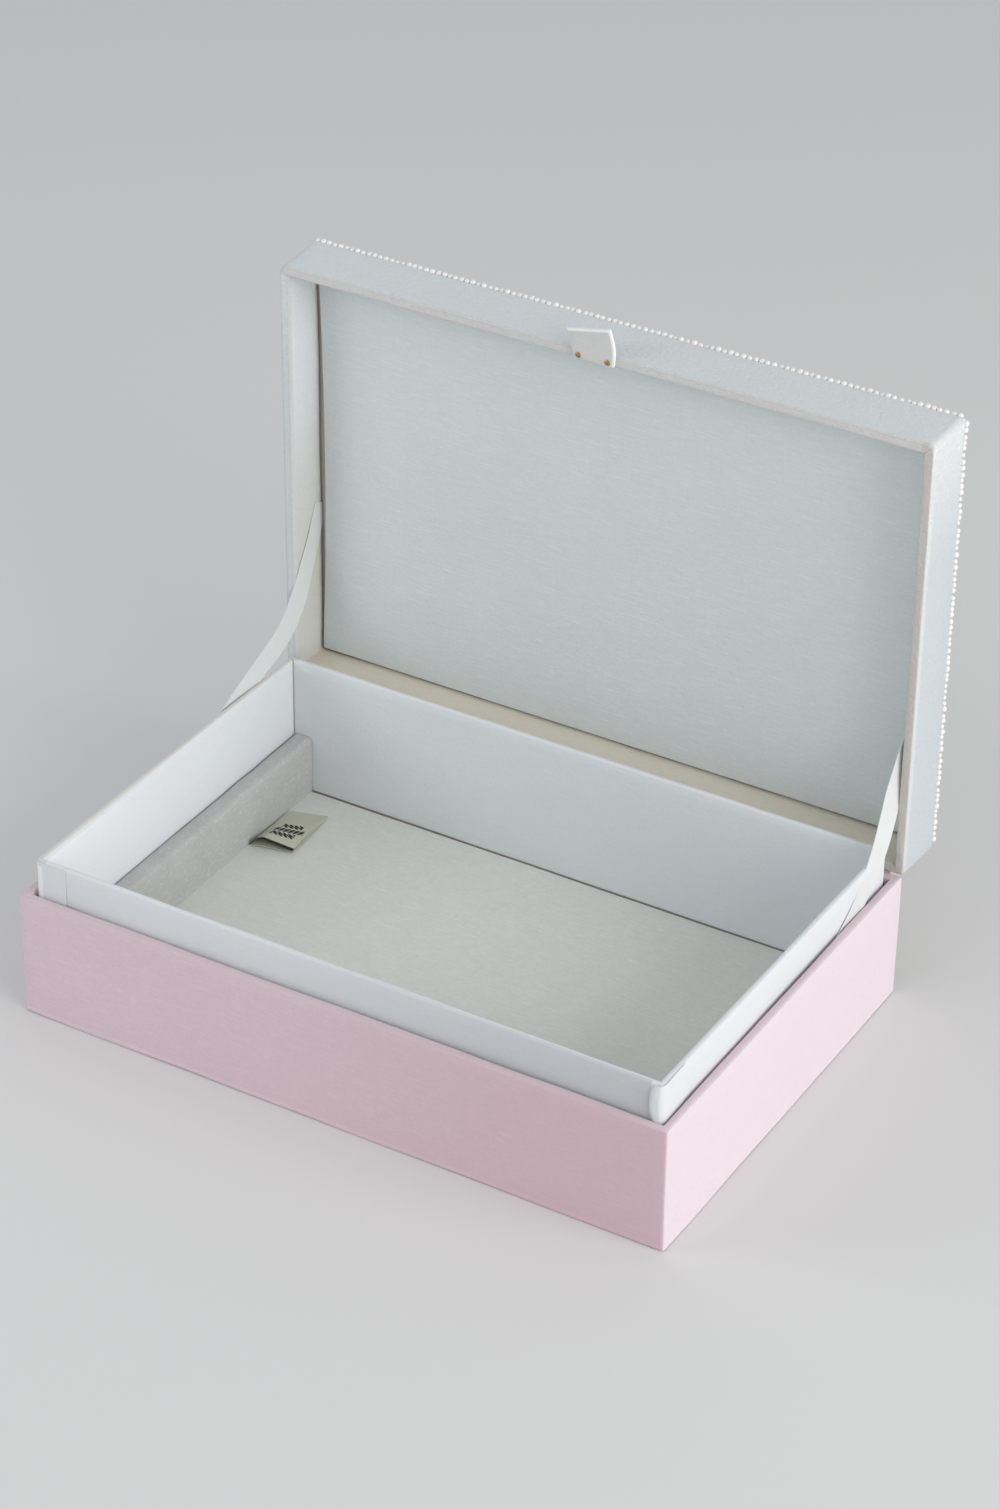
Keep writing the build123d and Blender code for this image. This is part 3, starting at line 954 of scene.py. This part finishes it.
ribbonLook = {
    "length": 140 * mm, "width": 8.7 * mm, "thickness": 0.26 * mm, "cuts": (96, 8),
    "left": {"route": ((-124.0, 14, 40), (-124.0, 30, 53.5), (-123.9, 45, 61),
                       (-123.8, 60, 66.6), (-123.6, 72, 71.2), (-123.6, 81, 77.0),
                       (-123.7, 88, 85.5), (-123.9, 93, 94.5), (-124.0, 98, 103.6),
                       (-124.05, 103.6, 116)),
             "lean": (0, 0, 0.05, 0.12, 0.22, 0.25, 0.2, 0.08, 0, 0)},
    "right": {"route": ((124.0, 20, 32), (124.0, 38, 40.5), (123.95, 54, 48.5),
                        (123.7, 65, 56.0), (123.3, 74.5, 65.0), (123.1, 80, 74.5),
                        (123.2, 83.6, 84.5), (123.6, 88, 95.5), (123.95, 94.5, 107),
                        (124.05, 103.6, 119)),
              "lean": (0, 0, 0.05, 0.15, 0.28, 0.32, 0.28, 0.12, 0, 0)}}


def makeRibbon(side):
    look = ribbonLook[side]
    route = [(x * mm, y * mm, z * mm) for x, y, z in look["route"]]
    inward = 1 if side == "left" else -1

    def place(along, across):
        middle, run = alongRoute(route, along)
        spot = along * (len(look["lean"]) - 1)
        i = min(int(spot), len(look["lean"]) - 2)
        lean = look["lean"][i] + (look["lean"][i + 1] - look["lean"][i]) * (spot - i)
        over = run.cross(Vector((inward, 0, 0))).normalized()
        over = (over + Vector((inward * lean, 0, 0))).normalized()
        return middle + over * (across - 0.5) * ribbonLook["width"]

    name = "ribbon" + side.capitalize()
    piece = shapeSheet(name, (ribbonLook["length"], ribbonLook["width"]), ribbonLook["cuts"],
                       place)
    thicken(piece, ribbonLook["thickness"], 0.0)
    smooth(piece, 50)
    dress(piece, ribbonSatin, None, "ribbon_satin", "ribbon_" + side)
    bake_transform(piece)


makeRibbon("left")
makeRibbon("right")

hingeLook = {"length": 246 * mm, "thickness": 0.42 * mm, "cuts": (40, 24),
             "route": ((0, 85.24, 13.9), (0, 85.24, 24), (0, 85.24, 34), (0, 85.24, 43),
                       (0, 85.30, 47.2), (0, 86.5, 48.8), (0, 90, 48.97), (0, 97, 48.97),
                       (0, 104.2, 48.97))}


def makeHingeCloth():
    route = [tuple(value * mm for value in point) for point in hingeLook["route"]]

    def place(along, across):
        middle, run = alongRoute(route, across)
        return middle + Vector(((along - 0.5) * hingeLook["length"], 0, 0))

    piece = shapeSheet("hingeCloth", (hingeLook["length"], 54 * mm), hingeLook["cuts"], place)
    thicken(piece, hingeLook["thickness"], 0.0)
    smooth(piece)
    dress(piece, hingeCloth, None, "hinge_cloth", "hinge_cloth_lower", "hinge_cloth_upper")
    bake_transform(piece)


makeHingeCloth()

labelLook = {"flat": (16.2 * mm, 54 * mm), "thickness": 0.35 * mm, "cuts": (20, 56),
             "corners": ((-112.6, 34.2), (-96.2, 37.9), (-98.2, 64.6), (-112.3, 60.6)),
             "arch": 3.7 * mm, "raised": 0.9 * mm, "layerGap": 0.55 * mm}


def makeLabel():
    low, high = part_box("floor_cover_cloth")
    corners = [Vector((x * mm, y * mm, high.z)) for x, y in labelLook["corners"]]

    def place(across, along):
        # the cloth starts at the front, folds at the back and comes forward again underneath
        top = along < 0.5
        back = along * 2 if top else (1 - along) * 2
        front = corners[0].lerp(corners[1], across)
        rear = corners[3].lerp(corners[2], across)
        point = front.lerp(rear, back if top else back * 0.985 + 0.015)
        rise = 1 - (1 - min(1, across / 0.3)) ** 2
        rise *= 1 - 0.8 * max(0, (across - 0.3) / 0.7)
        lift = rise * (1 - min(1, back / 0.85)) ** 1.4
        point.z += labelLook["arch"] * lift * (1.0 if top else 0.12)
        point.z += labelLook["raised"] * across ** 2 * math.sin(math.pi * min(1, back * 1.05))
        layer = labelLook["layerGap"] * math.sqrt(max(0, 1 - back ** 6))
        point.z += 0.3 * mm + (layer if top else 0)
        return point

    piece = shapeSheet("wovenLabel", labelLook["flat"], labelLook["cuts"], place)
    thicken(piece, labelLook["thickness"], 0.0)
    smooth(piece, 60)
    dress(piece, labelCloth, "base", "label_cotton", "woven_label")


makeLabel()

flapLook = {"thickness": 0.3 * mm, "low": 46 * mm, "flat": (24 * mm, 17 * mm), "cuts": (26, 12),
            "corner": {"route": ((123.5, -66), (123.6, -72), (123.75, -77.2), (123.65, -79.5),
                                 (122.9, -80.8), (122.1, -81.2), (121.3, -81.3),
                                 (120.7, -81.05)), "bow": 2.3 * mm, "roll": 0.7 * mm},
            "seam": {"route": ((-122.6, -80.35), (-121.5, -80.5), (-118, -80.56), (-114, -80.6),
                               (-110.8, -80.62)), "bow": 0.1 * mm, "roll": 0.0}}


def makeNeckFlap(name, look):
    # an edge of the neck's cloth that is folded round its corner and shows as a step
    route = [(x * mm, y * mm, 0) for x, y in look["route"]]
    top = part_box("neck_cover_cloth")[1].z + neckLook["frontRise"]

    def place(along, across):
        spot, run = alongRoute(route, along)
        height = flapLook["low"] + (top - flapLook["low"]) * across
        middle = 1 - (2 * max(0.0, (height - 48 * mm) / (top - 48 * mm)) - 1) ** 2
        out = Vector((-run.y, run.x, 0))
        spot = spot + (run * look["bow"] * along ** 2 + out * look["roll"] * along) * middle
        spot.z = height
        return spot

    piece = shapeSheet(name, flapLook["flat"], flapLook["cuts"], place)
    thicken(piece, flapLook["thickness"], 0.0)
    smooth(piece, 60)
    dress(piece, neckCloth, "base", "neck_cloth", "neck_cover_cloth")


makeNeckFlap("neckCornerFlap", flapLook["corner"])
makeNeckFlap("neckSeamFlap", flapLook["seam"])
print("ribbons, hinge cloth, label and flaps are laid")


# padded lining inside the lid

liningLook = {"cuts": (44, 30), "edge": 0.9 * mm, "puff": 1.1 * mm, "pressure": 6.0,
              "frames": 14, "standOff": 1.8 * mm}


def makeLining():
    low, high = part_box("lid_lining_cloth")
    piece = addBlock("liningPad", low, high)
    openEdit(piece)
    pickFaces(piece, lambda middle, normal: normal.y < -0.9)
    bpy.ops.mesh.bevel(offset=liningLook["edge"], segments=3, affect="EDGES")
    cutAlong(piece, 0, liningLook["cuts"][0], 100 * mm)
    cutAlong(piece, 2, liningLook["cuts"][1], 100 * mm)
    closeEdit()
    unwrapFlat(piece)
    start = [vertex.co.copy() for vertex in piece.data.vertices]
    swollen = inflate(piece, lambda point: point.y > low.y + 0.3 * mm)
    for vertex, old, new in zip(piece.data.vertices, start, swollen):
        if old.x < low.x + 1.5 * mm:
            up = (high.z - old.z) / (high.z - low.z)
            old.x += liningLook["standOff"] * math.sin(math.pi * min(1, up * 1.05)) ** 0.8
            vertex.co.x = old.x
        out = max(-0.2 * mm, min(liningLook["puff"], old.y - new.y))
        wave = noise.noise(old / (30 * mm)) * 0.15 * mm
        if old.y < low.y + 0.2 * mm:
            vertex.co = old - Vector((0, out + wave, 0))
    smooth(piece)
    dress(piece, liningCloth, "lid", "lining_cloth", "lid_lining_cloth", "lid_lining_wadding")


def inflate(piece, held):
    # the wadding pushes the cloth out between its glued edges
    group = piece.vertex_groups.new(name="held")
    group.add([v.index for v in piece.data.vertices if held(v.co)], 1.0, "REPLACE")
    cloth = piece.modifiers.new("cloth", "CLOTH")
    cloth.settings.vertex_group_mass = "held"
    cloth.settings.use_pressure = True
    cloth.settings.uniform_pressure_force = liningLook["pressure"]
    cloth.settings.effector_weights.gravity = 0
    cloth.settings.quality = 6
    cloth.point_cache.frame_end = liningLook["frames"]
    for number in range(1, liningLook["frames"] + 1):
        scene.frame_set(number)
    shaped = piece.evaluated_get(bpy.context.evaluated_depsgraph_get())
    moved = [vertex.co.copy() for vertex in shaped.data.vertices]
    piece.modifiers.remove(cloth)
    piece.vertex_groups.clear()
    scene.frame_set(1)
    return moved


makeLining()
print("lining is padded")


# lift tab and its two pins

tabLook = {"curl": 1.1 * mm, "bow": 0.9 * mm, "edge": 0.22 * mm, "cuts": 5}


def makeTab():
    low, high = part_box("lift_tab")
    piece = addBlock("liftTab", low, high)
    # its sides slope: the top edge sits further left and higher at its right end
    for vertex in piece.data.vertices:
        right, up = vertex.co.x > 0, vertex.co.z > (low.z + high.z) / 2
        vertex.co.x = (6.8 if right else -10.2) * mm if up else (8.4 if right else -7.4) * mm
        if up and not right:
            vertex.co.z = high.z - 3.8 * mm
    openEdit(piece)
    bpy.ops.mesh.select_all(action="SELECT")
    bpy.ops.mesh.subdivide(number_cuts=tabLook["cuts"])
    closeEdit()
    unwrapFlat(piece)
    for vertex in piece.data.vertices:
        up = (vertex.co.z - low.z) / (high.z - low.z)
        right = (vertex.co.x - low.x) / (high.x - low.x)
        vertex.co.x += tabLook["bow"] * math.sin(math.pi * up) * right
        vertex.co.y -= tabLook["curl"] * max(0, up - 0.2) ** 2
    openEdit(piece)
    pickEdges(piece, lambda edge, middle, run: edge.calc_face_angle(0) > 0.9)
    bevelPicked(tabLook["edge"], 3)
    closeEdit()
    smooth(piece)
    dress(piece, tabCloth, "lid", "tab_cloth", "lift_tab")


pinLook = {"radius": 1.2 * mm, "dome": 0.75 * mm, "shank": 0.45 * mm}


def makePins():
    for side in ("left", "right"):
        low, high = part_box("tab_pin_" + side)
        x, z = (low.x + high.x) / 2, (low.z + high.z) / 2
        deselectAll()
        bpy.ops.mesh.primitive_uv_sphere_add(segments=20, ring_count=12,
                                             radius=pinLook["radius"], location=(x, 0, z))
        piece = bpy.context.object
        piece.name = piece.data.name = "tabPin" + side.capitalize()
        bpy.ops.object.transform_apply(location=True, rotation=True, scale=True)
        openEdit(piece)
        bpy.ops.mesh.select_all(action="SELECT")
        bpy.ops.mesh.bisect(plane_co=(0, 0, 0), plane_no=(0, 1, 0), clear_outer=True,
                            use_fill=True)
        pickFaces(piece, lambda middle, normal: normal.y > 0.9)
        bpy.ops.mesh.inset(thickness=pinLook["radius"] - pinLook["shank"])
        bpy.ops.mesh.extrude_region_move(
            TRANSFORM_OT_translate={"value": (0, high.y - low.y - pinLook["dome"], 0)})
        closeEdit()
        for vertex in piece.data.vertices:
            if vertex.co.y <= 0:
                vertex.co.y *= pinLook["dome"] / pinLook["radius"]
            vertex.co.y += low.y + pinLook["dome"]
        smooth(piece)
        dress(piece, agedBrass, "lid", "brass", "tab_pin_" + side)


makeTab()
makePins()
print("tab is pinned on")


# pearls sewn over the top of the lid

pearlLook = {"radius": 1.28 * mm, "vary": 0.16, "pitch": 2.85 * mm, "jitter": 0.32 * mm,
             "flatten": 0.92, "segments": 8, "rings": 6, "strips": 4, "corner": 3 * mm,
             "margin": 2.9 * mm, "edgeMargin": 0.5 * mm, "edgePitch": 2.35 * mm, "seed": 17,
             "rowPitch": 0.88, "endGap": 2.2 * mm, "drop": 1.6 * mm, "dropReach": 2.6 * mm,
             "edgeBand": 1 * mm, "edgeShrink": 0.86, "seat": 0.8}


def makePearls():
    low, high, middle = lidLow, lidHigh, lidMiddle
    reach = (high.x - pearlLook["margin"], (high.z - low.z) / 2 - pearlLook["margin"])
    deselectAll()
    bpy.ops.mesh.primitive_uv_sphere_add(segments=pearlLook["segments"],
                                         ring_count=pearlLook["rings"], radius=1)
    ball = bpy.context.object
    ballPoints = [vertex.co.copy() for vertex in ball.data.vertices]
    ballFaces = [tuple(face.vertices) for face in ball.data.polygons]
    bpy.data.objects.remove(ball)
    dice = random.Random(pearlLook["seed"])
    rows = int(2 * reach[1] / (pearlLook["pitch"] * pearlLook["rowPitch"]))
    places = []
    for row in range(rows + 1):
        z = -reach[1] + 2 * reach[1] * row / rows
        columns = int(2 * reach[0] / pearlLook["pitch"])
        for column in range(columns + 1 - row % 2):
            x = -reach[0] + 2 * reach[0] * (column + 0.5 * (row % 2)) / columns
            # corners of the field are rounded like the lid
            outX = abs(x) - (reach[0] - pearlLook["corner"])
            outZ = abs(z) - (reach[1] - pearlLook["corner"])
            if outX > 0 and outZ > 0 and math.hypot(outX, outZ) > pearlLook["corner"]:
                continue
            x += dice.uniform(-1, 1) * pearlLook["jitter"]
            places.append((x, z + dice.uniform(-1, 1) * pearlLook["jitter"]))
    # a closer string of pearls along all four edges
    edge = [value + pearlLook["margin"] - pearlLook["edgeMargin"] for value in reach]
    for axis in (0, 1):
        run = edge[axis] - pearlLook["endGap"]
        steps = int(2 * run / pearlLook["edgePitch"])
        for side in (-1, 1):
            for step in range(steps + 1):
                spot = [0, 0]
                spot[axis] = -run + 2 * run * step / steps + dice.uniform(-0.25, 0.25) * mm
                spot[1 - axis] = side * (edge[1 - axis] + dice.uniform(-0.35, 0.25) * mm)
                places.append(tuple(spot))
    share = math.ceil(len(places) / pearlLook["strips"])
    for strip in range(pearlLook["strips"]):
        points, faces = [], []
        for x, z in places[strip * share:(strip + 1) * share]:
            radius = pearlLook["radius"] * (1 + dice.uniform(-1, 1) * pearlLook["vary"])
            toEdge = min(edge[0] - abs(x), edge[1] - abs(z))
            drop = pearlLook["drop"] * max(0.0, 1 - toEdge / pearlLook["dropReach"]) ** 2
            if toEdge < pearlLook["edgeBand"]:
                radius *= pearlLook["edgeShrink"]
            # the pearls follow the lid's flare
            x *= 1 + lidLook["flare"] / high.x
            if z > 0:
                z *= 1 + lidLook["flare"] / reach[1]
            y = high.y + lidCrown(x, z + middle) - drop + radius * pearlLook["seat"]
            turn = Matrix.Rotation(dice.uniform(0, 6.28), 3, "Y") @ Matrix.Rotation(
                dice.uniform(0, 6.28), 3, "X")
            first = len(points)
            for point in ballPoints:
                spot = turn @ point * radius
                points.append((x + spot.x, y + spot.y * pearlLook["flatten"],
                               middle + z + spot.z))
            faces.extend(tuple(first + index for index in face) for face in ballFaces)
        mesh = bpy.data.meshes.new("pearls" + str(strip + 1))
        mesh.from_pydata(points, [], faces)
        mesh.shade_smooth()
        piece = bpy.data.objects.new(mesh.name, mesh)
        scene.collection.objects.link(piece)
        dress(piece, pearlSkin, "lid", "pearl", "pearl_beads")
    print("pearls sewn on:", len(places))


makePearls()


# boards and paper that the CAD model already gives the right shape

for name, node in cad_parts.items():
    finish = None
    if name.endswith("_board") or name == "ledge_core":
        finish = greyBoard
    elif name.endswith("_wadding"):
        finish = whiteWadding
    elif name == "base_underside_sheet":
        finish = undersidePaper
    if finish:
        node.data.materials.clear()
        node.data.materials.append(finish)
